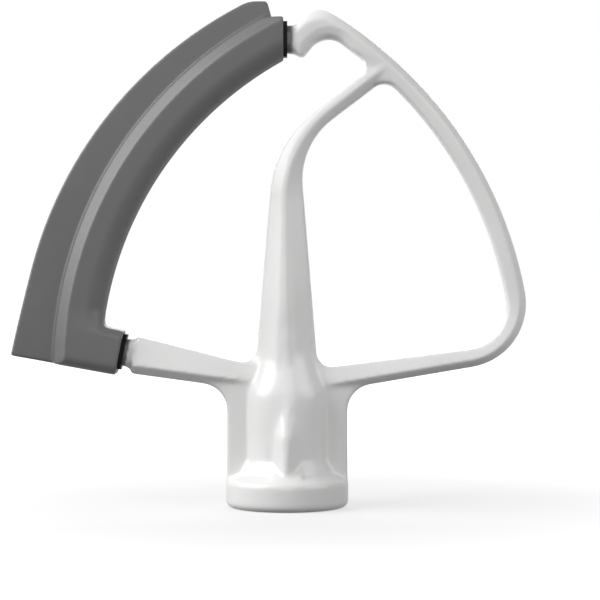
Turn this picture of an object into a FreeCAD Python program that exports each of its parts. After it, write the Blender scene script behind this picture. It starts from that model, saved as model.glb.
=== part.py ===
import FreeCAD, Part
import math
import os
import Sketcher

# Flat beater with a flexible scraper edge for a tilt-head stand mixer.
# All lengths are millimetres and all angles are degrees.
# The origin is the centre of the hub's mouth face, and +Z runs up the shaft bore.
# The beater lies in the XZ plane, with its scraper on the -X side and its front towards -Y.

doc = FreeCAD.newDocument("flat_beater")
sizes = doc.addObject("Spreadsheet::Sheet", "Sizes")

DRIVING_SIZES = [
    # Hub
    ("collar_radius", 16.2, "outside radius of the collar round the mouth"),
    ("collar_height", 7.6, "height of the collar's wall"),
    ("collar_foot_bevel", 1.1, "bevel on the collar's lower edge"),
    ("collar_top_bevel", 0.7, "bevel where the collar's wall turns in"),
    ("shoulder_radius", 12.7, "radius at the top of the collar's sloped shoulder"),
    ("shoulder_height", 9.9, "height of the top of the collar's shoulder"),
    ("tube_radius", 11.0, "outside radius of the hub's tube"),
    ("tube_foot_height", 12.6, "height where the tube's foot has narrowed to the tube"),
    ("tube_top_height", 30.5, "height where the tube starts to close towards the spine"),
    ("tube_top_round", 6.0, "round where the tube starts to close"),
    ("root_radius", 6.6, "radius of the closed tube inside the spine"),
    ("root_height", 41.0, "height of the closed tube's end inside the spine"),
    ("rib_half_width", 4.1, "half width of the ribs over the pin slot"),
    ("rib_side_reach", 10.0, "distance of the ribs' sides from the axis"),
    ("rib_reach", 14.4, "distance of the ribs' noses from the axis"),
    ("rib_nose_round", 1.2, "round on the ribs' noses"),
    ("rib_lean_height", 19.0, "height where the ribs start to lean in"),
    ("rib_top_height", 35.0, "height where the ribs run out in the spine"),
    ("rib_top_half_width", 1.2, "half width of the ribs at their top"),
    ("rib_top_reach", 8.8, "distance of the ribs' noses from the axis at their top"),
    # Shaft bore and pin lock
    ("bore_radius", 6.45, "radius of the shaft bore"),
    ("bore_depth", 33.0, "depth of the shaft bore's wall from the mouth"),
    ("bore_lead_in", 0.5, "chamfer at the bore's mouth"),
    ("bore_point", 1.6, "height of the cone at the bore's blind end"),
    ("pin_slot_width", 5.2, "width of the slot that lets the shaft's pin in"),
    ("pin_slot_reach", 9.8, "distance of the pin slot's floor from the axis"),
    ("pin_slot_height", 19.0, "height of the pin slot above the mouth"),
    ("lock_sill_height", 13.2, "height of the sill that the pin turns over"),
    ("lock_sweep", 72.0, "angle that the pin turns from the slot to its seat"),
    ("seat_sweep", 27.0, "angle that the pin's seat covers"),
    ("seat_drop", 1.5, "drop from the sill to the pin's seat"),
    # Arms and rim, seen from the front
    ("web_reach", 15.9, "distance of the hub's side webs from the axis"),
    ("web_foot_height", 7.0, "height of the webs' foot, inside the collar"),
    ("web_round", 7.0, "round between each web and the arm over it"),
    ("web_root_depth", 7.6, "front to back size of the webs at the tube"),
    ("web_edge_depth", 3.8, "front to back size of the webs where they run out"),
    ("web_run_out", 24.0, "distance from the axis where the webs run out"),
    ("web_thin_height", 36.0, "height where the webs start to run out over the arms"),
    ("web_top_height", 46.0, "height where the webs have run out"),
    ("web_top_depth", 1.6, "front to back size of the webs at their top"),
    ("right_under_height", 28.7, "height of the right arm's underside, carried on to the axis"),
    ("right_under_slope", 9.65, "rise of the right arm's underside"),
    ("right_top_height", 35.7, "height of the right arm's top, carried on to the axis"),
    ("right_top_slope", 7.25, "rise of the right arm's top"),
    ("corner_outer_round", 17.0, "outside round of the lower right corner"),
    ("corner_inner_round", 11.8, "inside round of the lower right corner"),
    ("rim_centre_x", -44.9, "centre of the rim's sweep, across"),
    ("rim_centre_height", 36.5, "centre of the rim's sweep, up"),
    ("rim_radius", 109.7, "outside radius of the rim"),
    ("rim_width", 5.1, "width of the rim"),
    ("left_under_height", 29.6, "height of the left arm's underside, carried on to the axis"),
    ("left_under_slope", 7.8, "rise of the left arm's underside, outwards"),
    ("left_top_height", 35.4, "height of the left arm's top, carried on to the axis"),
    ("left_top_slope", 13.95, "rise of the left arm's top, outwards"),
    ("arm_root_round", 3.9, "round between each arm and the spine"),
    # Hook at the top
    ("hook_x", 5.0, "point on the hook's outer slope, across"),
    ("hook_rise", 6.3, "height of that point over the middle of the core bar"),
    ("hook_slope", 42.9, "slope of the hook's outer edge"),
    ("hook_top_round", 3.6, "round at the top of the hook"),
    ("hook_end_x", 2.9, "distance of the hook's end face from the axis"),
    ("hook_foot_drop", 4.6, "drop from the middle of the core bar to the hook's lower tip"),
    ("hook_foot_round", 0.4, "round on the hook's lower tip"),
    ("hook_inner_x", 4.95, "point on the inside of the hook's leg, across"),
    ("hook_inner_drop", 4.0, "drop from the middle of the core bar to that point"),
    ("hook_inner_slope", 50.0, "slope of the inside of the hook's leg"),
    ("hook_arch_round", 5.7, "radius of the arch inside the hook"),
    ("hook_leg_start", 4.4, "distance from the axis where the hook's straight leg starts"),
    ("hook_leg_length", 13.0, "length that the hook's leg is made to, past the outline"),
    ("hook_face_overrun", 9.5, "width that the hook's leg is made to, past the outline"),
    # Spine and spar, seen from the front
    ("spine_left_x", 4.45, "distance of the spine's left edge from the axis at the check height"),
    ("spine_right_x", 4.2, "distance of the spine's right edge from the axis at the check height"),
    ("spine_check_height", 83.9, "height where the spine's width is given"),
    ("spine_left_lean", 4.8, "lean of the spine's left edge"),
    ("spine_right_lean", 4.7, "lean of the spine's right edge"),
    ("spar_check_x", 16.1, "distance from the axis where the spar's edges are given"),
    ("spar_upper_height", 111.35, "height of the spar's upper edge there"),
    ("spar_lower_height", 105.7, "height of the spar's lower edge there"),
    ("spar_slope", 37.2, "rise of the spar"),
    ("bend_outer_round", 30.0, "outside round of the bend from spine to spar"),
    ("bend_inner_round", 20.0, "inside round of the bend from spine to spar"),
    ("crotch_upper_round", 3.2, "round between the spar and the rim, above"),
    ("crotch_lower_round", 4.2, "round between the spar and the rim, below"),
    # Ridges of the casting
    ("ridge_depth", 8.8, "front to back size over the arms' ridges"),
    ("ridge_inset", 1.85, "distance from the rim's outer edge to its ridge"),
    ("left_ridge_inset", 2.3, "distance from the left arm's lower edge to its ridge"),
    ("bevel_slope", 50.0, "slope of the bevel outside the ridge"),
    ("face_slope", 12.0, "slope of the face inside the ridge"),
    ("bevel_overrun", 3.3, "width that the bevel is made to, past the outline"),
    ("face_overrun", 6.2, "width that the rim's face is made to, past the outline"),
    ("left_face_overrun", 9.5, "width that the left arm's face is made to, past the outline"),
    ("hook_ridge_round", 6.6, "round of the ridge line at the top of the hook"),
    # Ridge of the spine and spar
    ("spine_ridge_x", 0.6, "distance of the spine's ridge line from the axis, to the left"),
    ("spine_foot_height", 28.0, "height where the spine's ridge starts, inside the hub"),
    ("spine_foot_depth", 22.0, "front to back size over the spine's ridge at its foot"),
    ("spine_foot_round", 5.0, "round on the spine's ridge at its foot"),
    ("spine_top_depth", 10.6, "front to back size over the spine's ridge at the bend"),
    ("spine_top_round", 1.6, "round on the spine's ridge at the bend"),
    ("spine_edge_depth", 3.0, "front to back size of the spine's sides, past the outline"),
    ("spine_foot_half_width", 9.6, "half width that the spine's foot is made to, past the outline"),
    ("spine_top_half_width", 6.0, "half width that the spine's top is made to, past the outline"),
    ("bend_height", 81.1, "height where the ridge line starts to bend"),
    ("bend_ridge_radius", 30.0, "radius of the ridge line through the bend"),
    ("spar_run", 19.5, "length of the spar's ridge line past the bend"),
    ("spar_depth", 8.6, "front to back size over the spar's ridge"),
    ("spar_round", 0.5, "round on the spar's ridge"),
    ("spar_face_slope", 20.0, "slope of the spar's upper face"),
    ("spar_face_overrun", 5.4, "width that the spar's upper face is made to, past the outline"),
    ("spar_bevel_overrun", 3.2, "width that the spar's lower bevel is made to, past the outline"),
    # Core bar, its carrier and the flexible edge
    ("core_foot_x", 42.1, "point on the core bar's lower run, distance to the left"),
    ("core_foot_height", 40.8, "point on the core bar's lower run, up"),
    ("core_foot_slope", 10.9, "rise of the core bar's lower run, outwards"),
    ("core_top_drop", 11.9, "drop from the top of the core bar's sweep to its run at the hook"),
    ("edge_centre_x", 44.0, "centre of the edge's sweep, across"),
    ("edge_centre_height", 36.4, "centre of the edge's sweep, up"),
    ("core_radius", 99.2, "radius of the core bar's sweep"),
    ("core_elbow_round", 6.2, "radius of the core bar's elbow"),
    ("core_top_round", 8.0, "radius of the core bar's bend at the hook"),
    ("core_seat", 1.4, "length of core bar inside each arm's end"),
    ("core_width", 7.4, "width of the core bar, seen from the front"),
    ("core_depth", 6.6, "front to back size of the core bar"),
    ("core_bevel", 1.5, "bevel on the core bar's corners"),
    ("neck_length", 1.7, "length over which the core bar flares out to each arm's end"),
    ("neck_growth", 0.6, "growth of the core bar's upper and lower sides at each arm's end"),
    ("carrier_wall", 1.0, "wall of the carrier round the core bar"),
    ("carrier_show", 1.0, "length of carrier that shows past the flexible edge"),
    ("edge_inner_radius", 93.3, "radius of the flexible edge's inner side"),
    ("edge_shoulder_radius", 105.8, "radius where the flexible edge's body meets its blade"),
    ("edge_depth", 11.4, "front to back size of the flexible edge's body"),
    ("edge_inner_bevel", 1.7, "bevel on the body's inner side"),
    ("edge_shoulder", 3.2, "width of the sloped shoulder between body and blade"),
    ("edge_top_x", 1.0, "distance of the body's upper end from the axis, to the left"),
    ("edge_top_rise", 5.85, "height of the body's upper end over the middle of the core bar"),
    ("elbow_reach", 5.25, "distance that the body's lower end reaches in past its sweep"),
    ("foot_gap", 3.65, "distance between the body's lower end and the left arm's end"),
    ("elbow_top_x", 45.8, "point on the elbow's top, distance to the left"),
    ("elbow_top_height", 47.2, "point on the elbow's top, up"),
    ("elbow_top_slope", 12.5, "slope of the elbow's top"),
    ("elbow_inner_round", 1.5, "round inside the elbow"),
    ("edge_under_x", 59.15, "point on the edge's underside, distance to the left"),
    ("edge_under_height", 37.5, "point on the edge's underside, up"),
    ("edge_under_slope", 10.25, "slope of the edge's underside"),
    ("blade_depth", 2.6, "thickness of the blade"),
    ("blade_root_radius", 100.0, "radius of the blade's hidden inner side, in the body"),
    ("blade_upper_centre_x", 38.0, "centre of the blade's upper sweep, across"),
    ("blade_upper_centre_height", 35.9, "centre of the blade's upper sweep, up"),
    ("blade_upper_radius", 109.15, "radius of the blade's upper sweep"),
    ("blade_lower_centre_x", 513.0, "centre of the blade's lower sweep, across"),
    ("blade_lower_radius", 600.0, "radius of the blade's lower sweep"),
    ("blade_tip_x", 4.6, "point on the blade's upper end, distance to the left"),
    ("blade_tip_rise", 7.5, "height of that point over the middle of the core bar"),
    ("blade_tip_slope", 75.0, "slope of the blade's upper end"),
    ("blade_top_rise", 10.1, "height of the blade's top over the middle of the core bar"),
    ("blade_tip_round", 0.9, "round on the blade's tip"),
    ("blade_top_round", 8.0, "round between the blade's top and its sweep"),
]

for row, (alias, number, meaning) in enumerate(DRIVING_SIZES, start=1):
    sizes.set(f"A{row}", meaning)
    sizes.set(f"B{row}", str(number))
    sizes.setAlias(f"B{row}", alias)
doc.recompute()


class Size:
    """A number together with the sheet expression that gives it."""

    def __init__(self, number, text=None):
        self.number = float(number)
        self.text = text if text is not None else repr(float(number))

    def __add__(self, other):
        other = as_size(other)
        return Size(self.number + other.number, f"({self.text} + {other.text})")

    def __sub__(self, other):
        other = as_size(other)
        return Size(self.number - other.number, f"({self.text} - {other.text})")

    def __mul__(self, other):
        other = as_size(other)
        return Size(self.number * other.number, f"({self.text} * {other.text})")

    def __truediv__(self, other):
        other = as_size(other)
        return Size(self.number / other.number, f"({self.text} / {other.text})")

    def __neg__(self):
        return Size(-self.number, f"(-1 * {self.text})")


def as_size(value):
    return value if isinstance(value, Size) else Size(value)


def named(alias):
    return Size(sizes.get(alias), f"Sizes.{alias}")


def sine(angle):
    return Size(math.sin(math.radians(angle.number)), f"sin({angle.text})")


def cosine(angle):
    return Size(math.cos(math.radians(angle.number)), f"cos({angle.text})")


def tangent(angle):
    return Size(math.tan(math.radians(angle.number)), f"tan({angle.text})")


ZERO = Size(0)
RIGHT_ANGLE = 90.0
HALF_TURN = 180.0
ORIGIN_POINT = (-1, 1)
NEAR = 0.001


# Sketching


def origin_feature(body, role):
    return next(item for item in body.Origin.OriginFeatures if item.Role == role)


def new_sketch(body, name, plane):
    sketch = body.newObject("Sketcher::SketchObject", name)
    sketch.AttachmentSupport = [(origin_feature(body, plane), "")]
    sketch.MapMode = "FlatFace"
    return sketch


def set_across(sketch, x, height, turned_from_up):
    """Move an XY sketch to a point of the XZ plane and turn its normal from +Z towards +X."""
    turn = FreeCAD.Rotation(FreeCAD.Vector(0, 1, 0), turned_from_up.number)
    place = FreeCAD.Vector(x.number, 0, height.number)
    sketch.AttachmentOffset = FreeCAD.Placement(place, turn)
    sketch.setExpression("AttachmentOffset.Base.x", x.text)
    sketch.setExpression("AttachmentOffset.Base.z", height.text)
    if abs(turned_from_up.number) > 0:
        sketch.setExpression("AttachmentOffset.Rotation.Angle", turned_from_up.text)


def dimension(sketch, kind, *where, size):
    """Add a dimension that takes its value from the sheet."""
    number = math.radians(size.number) if kind == "Angle" else size.number
    index = sketch.addConstraint(Sketcher.Constraint(kind, *where, number))
    sketch.setExpression(f"Constraints[{index}]", size.text)


def fix_point(sketch, geometry, position, x, y):
    dimension(sketch, "DistanceX", *ORIGIN_POINT, geometry, position, size=x)
    dimension(sketch, "DistanceY", *ORIGIN_POINT, geometry, position, size=y)


def construction_point(sketch, x, y):
    point = sketch.addGeometry(Part.Point(FreeCAD.Vector(x.number, y.number, 0)), True)
    fix_point(sketch, point, 1, x, y)
    return point


def flat(x, y):
    return FreeCAD.Vector(x, y, 0)


def left_of(direction):
    return flat(-direction.y, direction.x)


class Line:
    """A straight side through a point, running at an angle."""

    def __init__(self, x, y, angle):
        self.x, self.y, self.angle = as_size(x), as_size(y), as_size(angle)
        self.point = flat(self.x.number, self.y.number)
        turn = math.radians(self.angle.number)
        self.way = flat(math.cos(turn), math.sin(turn))

    def moved(self, distance):
        copy = Line(self.x, self.y, self.angle)
        copy.point = self.point + left_of(self.way) * distance
        return copy

    def direction_at(self, spot):
        return self.way

    def nearest(self, spot):
        return self.point + self.way * self.way.dot(spot - self.point)

    def draw(self, sketch, start, end):
        line = sketch.addGeometry(Part.LineSegment(start, end), False)
        return line, 1, 2

    def hold(self, sketch, line):
        across = abs(self.way.x) < NEAR
        level = abs(self.way.y) < NEAR
        if across:
            sketch.addConstraint(Sketcher.Constraint("Vertical", line))
            dimension(sketch, "DistanceX", *ORIGIN_POINT, line, 1, size=self.x)
        elif level:
            sketch.addConstraint(Sketcher.Constraint("Horizontal", line))
            dimension(sketch, "DistanceY", *ORIGIN_POINT, line, 1, size=self.y)
        else:
            point = construction_point(sketch, self.x, self.y)
            sketch.addConstraint(Sketcher.Constraint("PointOnObject", point, 1, line))
            dimension(sketch, "Angle", line, size=self.angle)


class Arc:
    """A round side about a centre, running anticlockwise (1) or clockwise (-1)."""

    def __init__(self, x, y, radius, sense):
        self.x, self.y, self.radius = as_size(x), as_size(y), as_size(radius)
        self.sense = sense
        self.centre = flat(self.x.number, self.y.number)
        self.reach = self.radius.number

    def moved(self, distance):
        copy = Arc(self.x, self.y, self.radius, self.sense)
        copy.reach = self.reach - distance * self.sense
        return copy

    def direction_at(self, spot):
        outward = spot - self.centre
        outward.normalize()
        return left_of(outward) * self.sense

    def nearest(self, spot):
        outward = spot - self.centre
        outward.normalize()
        return self.centre + outward * self.reach

    def draw(self, sketch, start, end):
        return draw_arc(sketch, self.centre, self.reach, self.sense, start, end)

    def hold(self, sketch, arc):
        fix_point(sketch, arc, 3, self.x, self.y)
        dimension(sketch, "Radius", arc, size=self.radius)


class RunOnArc(Arc):
    """A wider round side that an arc runs on into, so its centre's height follows."""

    def __init__(self, before, x, radius):
        spread = as_size(radius).number - before.reach
        step = as_size(x).number - before.centre.x
        height = before.centre.y - math.sqrt(spread ** 2 - step ** 2)
        super().__init__(x, height, radius, before.sense)

    def hold(self, sketch, arc):
        dimension(sketch, "DistanceX", *ORIGIN_POINT, arc, 3, size=self.x)
        dimension(sketch, "Radius", arc, size=self.radius)


def draw_arc(sketch, centre, radius, sense, start, end):
    first, last = (start, end) if sense > 0 else (end, start)
    from_angle = math.atan2(first.y - centre.y, first.x - centre.x)
    to_angle = math.atan2(last.y - centre.y, last.x - centre.x)
    if to_angle <= from_angle:
        to_angle += 2 * math.pi
    circle = Part.Circle(centre, flat(0, 0) + FreeCAD.Vector(0, 0, 1), radius)
    arc = sketch.addGeometry(Part.ArcOfCircle(circle, from_angle, to_angle), False)
    return (arc, 1, 2) if sense > 0 else (arc, 2, 1)


def line_meets_circle(line, arc):
    """The two points where a line meets a circle, in the order that the line runs."""
    to_centre = arc.centre - line.point
    middle = line.way.dot(to_centre)
    half = math.sqrt(arc.reach ** 2 - (to_centre.dot(to_centre) - middle ** 2))
    return line.point + line.way * (middle - half), line.point + line.way * (middle + half)


def meeting(before, after, near=None):
    """The corner where one side gives way to the next, or where their copies meet near it."""
    if isinstance(before, Line) and isinstance(after, Line):
        across = before.way.x * after.way.y - before.way.y * after.way.x
        gap = after.point - before.point
        step = (gap.x * after.way.y - gap.y * after.way.x) / across
        return before.point + before.way * step
    if isinstance(before, Arc) and isinstance(after, Arc):
        outward = before.centre - after.centre
        outward.normalize()
        return before.centre + outward * before.reach
    line, arc = (before, after) if isinstance(before, Line) else (after, before)
    spots = line_meets_circle(line, arc)
    if near is not None:
        return min(spots, key=near.distanceToPoint)
    if line is before:
        return next(spot for spot in spots if line.way.dot(spot - line.point) > 0)
    return next(spot for spot in reversed(spots) if line.way.dot(spot - line.point) < 0)


def draw_sides(sketch, sides, rounds, closed=True, first_x=None, last_x=None):
    """Draw sides end to end. rounds holds each side's round to the next, or None where sharp."""
    count = len(sides)
    joints = []
    for number in range(count if closed else count - 1):
        before, after, round_size = sides[number], sides[(number + 1) % count], rounds[number]
        corner = meeting(before, after)
        if round_size is None:
            joints.append((corner, corner, None, 0))
            continue
        way_in, way_out = before.direction_at(corner), after.direction_at(corner)
        sense = 1 if way_in.x * way_out.y - way_in.y * way_out.x > 0 else -1
        step = sense * round_size.number
        centre = meeting(before.moved(step), after.moved(step), near=corner)
        joints.append((before.nearest(centre), after.nearest(centre), centre, sense))
    drawn = []
    for number, side in enumerate(sides):
        if closed or number > 0:
            start = joints[number - 1][1]
        else:
            start = side.point + side.way * ((first_x.number - side.point.x) / side.way.x)
        if closed or number < count - 1:
            end = joints[number][0]
        else:
            end = side.point + side.way * ((last_x.number - side.point.x) / side.way.x)
        drawn.append(side.draw(sketch, start, end))
    for number, (leave, arrive, centre, sense) in enumerate(joints):
        before, after = drawn[number], drawn[(number + 1) % count]
        both_arcs = isinstance(sides[number], Arc) and isinstance(sides[(number + 1) % count], Arc)
        if centre is None:
            kind = "Tangent" if both_arcs else "Coincident"
            sketch.addConstraint(Sketcher.Constraint(kind, before[0], before[2], after[0], after[1]))
            continue
        radius = rounds[number]
        arc, first, last = draw_arc(sketch, centre, radius.number, sense, leave, arrive)
        sketch.addConstraint(Sketcher.Constraint("Tangent", before[0], before[2], arc, first))
        sketch.addConstraint(Sketcher.Constraint("Tangent", arc, last, after[0], after[1]))
        dimension(sketch, "Radius", arc, size=radius)
    for side, (geometry, first, last) in zip(sides, drawn):
        side.hold(sketch, geometry)
    if not closed:
        dimension(sketch, "DistanceX", *ORIGIN_POINT, drawn[0][0], drawn[0][1], size=first_x)
        dimension(sketch, "DistanceX", *ORIGIN_POINT, drawn[-1][0], drawn[-1][2], size=last_x)


def draw_polygon(sketch, corners):
    """Draw a closed outline from its corners: x, y and the round on the corner, or None."""
    spots = [flat(as_size(x).number, as_size(y).number) for x, y, _ in corners]
    count = len(corners)
    ends = []
    for number, (x, y, round_size) in enumerate(corners):
        spot = spots[number]
        if round_size is None:
            ends.append((spot, spot, None, 0))
            continue
        way_in = spot - spots[number - 1]
        way_out = spots[(number + 1) % count] - spot
        way_in.normalize()
        way_out.normalize()
        sense = 1 if way_in.x * way_out.y - way_in.y * way_out.x > 0 else -1
        half_turn = way_in.getAngle(way_out) / 2
        reach = round_size.number * math.tan(half_turn)
        leave = spot - way_in * reach
        centre = leave + left_of(way_in) * (round_size.number * sense)
        ends.append((leave, spot + way_out * reach, centre, sense))
    lines = []
    for number in range(count):
        start, end = ends[number][1], ends[(number + 1) % count][0]
        lines.append(sketch.addGeometry(Part.LineSegment(start, end), False))
    for number, (x, y, round_size) in enumerate(corners):
        before, after = lines[number - 1], lines[number]
        x, y = as_size(x), as_size(y)
        leave, arrive, centre, sense = ends[number]
        if round_size is None:
            sketch.addConstraint(Sketcher.Constraint("Coincident", before, 2, after, 1))
            fix_point(sketch, after, 1, x, y)
            continue
        arc, first, last = draw_arc(sketch, centre, round_size.number, sense, leave, arrive)
        sketch.addConstraint(Sketcher.Constraint("Tangent", before, 2, arc, first))
        sketch.addConstraint(Sketcher.Constraint("Tangent", arc, last, after, 1))
        dimension(sketch, "Radius", arc, size=round_size)
        point = construction_point(sketch, x, y)
        sketch.addConstraint(Sketcher.Constraint("PointOnObject", point, 1, before))
        sketch.addConstraint(Sketcher.Constraint("PointOnObject", point, 1, after))


def roof_section(body, name, left, left_half, ridge_half, right, right_half, ridge_round):
    """A section with a ridge in front and behind, and two faces that fall away from each."""
    sketch = new_sketch(body, name, "XY_Plane")
    draw_polygon(sketch, [
        (-left, left_half, None),
        (-left, -left_half, None),
        (ZERO, -ridge_half, ridge_round),
        (right, -right_half, None),
        (right, right_half, None),
        (ZERO, ridge_half, ridge_round),
    ])
    return sketch


def bevelled_section(body, name, half_width, half_depth, bevel):
    """A rectangle with its corners cut off."""
    sketch = new_sketch(body, name, "XY_Plane")
    across, along = half_width - bevel, half_depth - bevel
    draw_polygon(sketch, [
        (-across, -half_depth, None), (across, -half_depth, None),
        (half_width, -along, None), (half_width, along, None),
        (across, half_depth, None), (-across, half_depth, None),
        (-half_width, along, None), (-half_width, -along, None),
    ])
    return sketch


# Features


def pad(body, name, sketch, length, both_ways=False):
    feature = body.newObject("PartDesign::Pad", name)
    feature.Profile = sketch
    if both_ways:
        feature.SideType = "Symmetric"
    feature.setExpression("Length", length.text)
    return feature


def pipe(body, name, section, path, kind="PartDesign::AdditivePipe"):
    doc.recompute()
    feature = body.newObject(kind, name)
    feature.Profile = section
    edges = [f"Edge{number + 1}" for number in range(len(path.Shape.Edges))]
    feature.Spine = (path, edges)
    return feature


def loft(body, name, sections, ruled):
    feature = body.newObject("PartDesign::AdditiveLoft", name)
    feature.Profile = sections[0]
    feature.Sections = sections[1:]
    feature.Ruled = ruled
    return feature


def turn(body, name, sketch, kind, angle=None):
    feature = body.newObject(kind, name)
    feature.Profile = sketch
    feature.ReferenceAxis = (origin_feature(body, "Z_Axis"), [""])
    if angle is not None:
        feature.setExpression("Angle", angle.text)
    return feature


# Lines that more than one piece follows


def core_line():
    slope = named("core_foot_slope")
    return Line(-named("core_foot_x"), named("core_foot_height"), Size(HALF_TURN) - slope)


def edge_foot_x():
    """Distance to the left of the flexible edge's lower end."""
    return named("edge_inner_radius") - named("edge_centre_x") - named("elbow_reach")


def left_arm_reach():
    """Distance to the left of the left arm's end."""
    return edge_foot_x() - named("foot_gap")


def core_height_at(x):
    """Height of the core bar's lower run."""
    return named("core_foot_height") - (x + named("core_foot_x")) * tangent(named("core_foot_slope"))


def core_top_height():
    """Height of the core bar's upper run, which the hook and the edge's top end follow."""
    return named("edge_centre_height") + named("core_radius") - named("core_top_drop")


def core_path(body, name, past_foot, past_top):
    """The line through the core bar, from past the edge's foot to past its upper end."""
    sketch = new_sketch(body, name, "XZ_Plane")
    sweep = Arc(named("edge_centre_x"), named("edge_centre_height"), named("core_radius"), -1)
    top = Line(-named("edge_top_x"), core_top_height(), 0)
    first_x = -edge_foot_x() + past_foot * cosine(named("core_foot_slope"))
    last_x = -named("edge_top_x") + past_top
    rounds = [named("core_elbow_round"), named("core_top_round")]
    draw_sides(sketch, [core_line(), sweep, top], rounds, closed=False,
               first_x=first_x, last_x=last_x)
    return sketch


def place_on_core_foot(sketch, past_foot):
    """Stand a section across the core bar's lower run, where its path starts."""
    slope = named("core_foot_slope")
    x = -edge_foot_x() + past_foot * cosine(slope)
    set_across(sketch, x, core_height_at(x), slope - Size(RIGHT_ANGLE))


def place_on_core_top(sketch, past_top):
    """Stand a section across the core bar's upper run."""
    set_across(sketch, past_top - named("edge_top_x"), core_top_height(), Size(RIGHT_ANGLE))


def core_section(body, name, wall):
    half_width = named("core_width") / 2 + wall
    half_depth = named("core_depth") / 2 + wall
    bevel = named("core_bevel") + wall * (Size(2) - Size(math.sqrt(2)))
    return bevelled_section(body, name, half_width, half_depth, bevel)


def core_in_arms():
    """How far the core bar runs past the flexible edge's two ends, into the arms."""
    past_foot = named("foot_gap") + named("core_seat")
    past_top = named("edge_top_x") + named("hook_end_x") + named("core_seat")
    return past_foot, past_top


# Casting: outline seen from the front


def front_outline():
    """The casting's outline, seen from the front, without the hub and the core bar."""
    body = doc.addObject("PartDesign::Body", "front_outline")
    sketch = new_sketch(body, "front_outline_sketch", "XZ_Plane")
    rim_x, rim_height = named("rim_centre_x"), named("rim_centre_height")
    rim_inner = named("rim_radius") - named("rim_width")
    hook_height = core_top_height() + named("hook_rise")
    hook_inner_height = core_top_height() - named("hook_inner_drop")
    web = named("web_reach")
    spar_x = named("spar_check_x")
    check = named("spine_check_height")
    outside = [
        (Line(0, named("web_foot_height"), 0), None),
        (Line(web, named("tube_foot_height"), RIGHT_ANGLE), named("web_round")),
        (Line(0, named("right_under_height"), named("right_under_slope")),
         named("corner_outer_round")),
        (Arc(rim_x, rim_height, named("rim_radius"), 1), named("hook_top_round")),
        (Line(named("hook_x"), hook_height, named("hook_slope") - Size(HALF_TURN)), None),
        (Line(named("hook_end_x"), core_top_height(), -RIGHT_ANGLE),
         named("hook_foot_round")),
        (Line(0, core_top_height() - named("hook_foot_drop"), 0), named("hook_foot_round")),
        (Line(named("hook_inner_x"), hook_inner_height, named("hook_inner_slope")),
         named("hook_arch_round")),
        (Arc(rim_x, rim_height, rim_inner, -1), named("crotch_upper_round")),
        (Line(spar_x, named("spar_upper_height"), named("spar_slope") - Size(HALF_TURN)),
         named("bend_outer_round")),
        (Line(-named("spine_left_x"), check, -(named("spine_left_lean") + Size(RIGHT_ANGLE))),
         named("arm_root_round")),
        (Line(0, named("left_top_height"), Size(HALF_TURN) - named("left_top_slope")), None),
        (Line(-left_arm_reach(), named("core_foot_height"),
              -(named("core_foot_slope") + Size(RIGHT_ANGLE))), None),
        (Line(0, named("left_under_height"), -named("left_under_slope")), named("web_round")),
        (Line(-web, named("tube_foot_height"), -RIGHT_ANGLE), None),
    ]
    draw_sides(sketch, [side for side, _ in outside], [corner for _, corner in outside])
    bay = [
        (Line(spar_x, named("right_top_height") + spar_x * tangent(named("right_top_slope")),
              named("right_top_slope")), named("corner_inner_round")),
        (Arc(rim_x, rim_height, rim_inner, 1), named("crotch_lower_round")),
        (Line(spar_x, named("spar_lower_height"), named("spar_slope") - Size(HALF_TURN)),
         named("bend_inner_round")),
        (Line(named("spine_right_x"), check, named("spine_right_lean") - Size(RIGHT_ANGLE)),
         named("arm_root_round")),
    ]
    draw_sides(sketch, [side for side, _ in bay], [corner for _, corner in bay])
    pad(body, "front_outline_pad", sketch, named("spine_foot_depth") * 2, both_ways=True)
    return body


# Casting: ridged arms, wider than the outline that trims them


def rim_ridge(body):
    """The right arm, the rim and the hook, as one ridged bar that follows their outer edge."""
    inset = named("ridge_inset")
    slope = named("right_under_slope")
    path = new_sketch(body, "rim_ridge_line", "XZ_Plane")
    start_height = named("right_under_height") + inset / cosine(slope)
    hook_back = named("hook_slope") - Size(HALF_TURN)
    arm = Line(0, start_height, slope)
    rim = Arc(named("rim_centre_x"), named("rim_centre_height"), named("rim_radius") - inset, 1)
    hook_slope = named("hook_slope")
    hook_height = core_top_height() + named("hook_rise") - inset / cosine(hook_slope)
    hook = Line(named("hook_x"), hook_height, hook_back)
    rounds = [named("corner_outer_round") - inset, named("hook_ridge_round")]
    draw_sides(path, [arm, rim, hook], rounds, closed=False, first_x=named("ridge_inset"),
               last_x=named("hook_leg_start"))
    section = ridged_arm_section(body, "rim_section", named("face_overrun"), named("bevel_overrun"))
    start_x = named("ridge_inset")
    set_across(section, start_x, start_height + start_x * tangent(slope),
               Size(RIGHT_ANGLE) - slope)
    return pipe(body, "rim_bar", section, path)


def hook_leg(body):
    """The hook's straight leg, wide enough to reach the hook's lower tip."""
    slope = named("hook_slope")
    section = ridged_arm_section(body, "hook_leg_section", named("hook_face_overrun"),
                                 named("bevel_overrun"))
    start = named("hook_leg_start")
    run_up = (start - named("hook_x")) * tangent(slope)
    hook_height = core_top_height() + named("hook_rise")
    height = hook_height + run_up - named("ridge_inset") / cosine(slope)
    set_across(section, start, height, -(slope + Size(RIGHT_ANGLE)))
    return pad(body, "hook_leg", section, named("hook_leg_length"))


def ridged_arm_section(body, name, face_width, bevel_width, face_on_left=True):
    ridge = named("ridge_depth") / 2
    face_half = ridge - face_width * tangent(named("face_slope"))
    bevel_half = ridge - bevel_width * tangent(named("bevel_slope"))
    if face_on_left:
        return roof_section(body, name, face_width, face_half, ridge,
                            bevel_width, bevel_half, None)
    return roof_section(body, name, bevel_width, bevel_half, ridge,
                        face_width, face_half, None)


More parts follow.
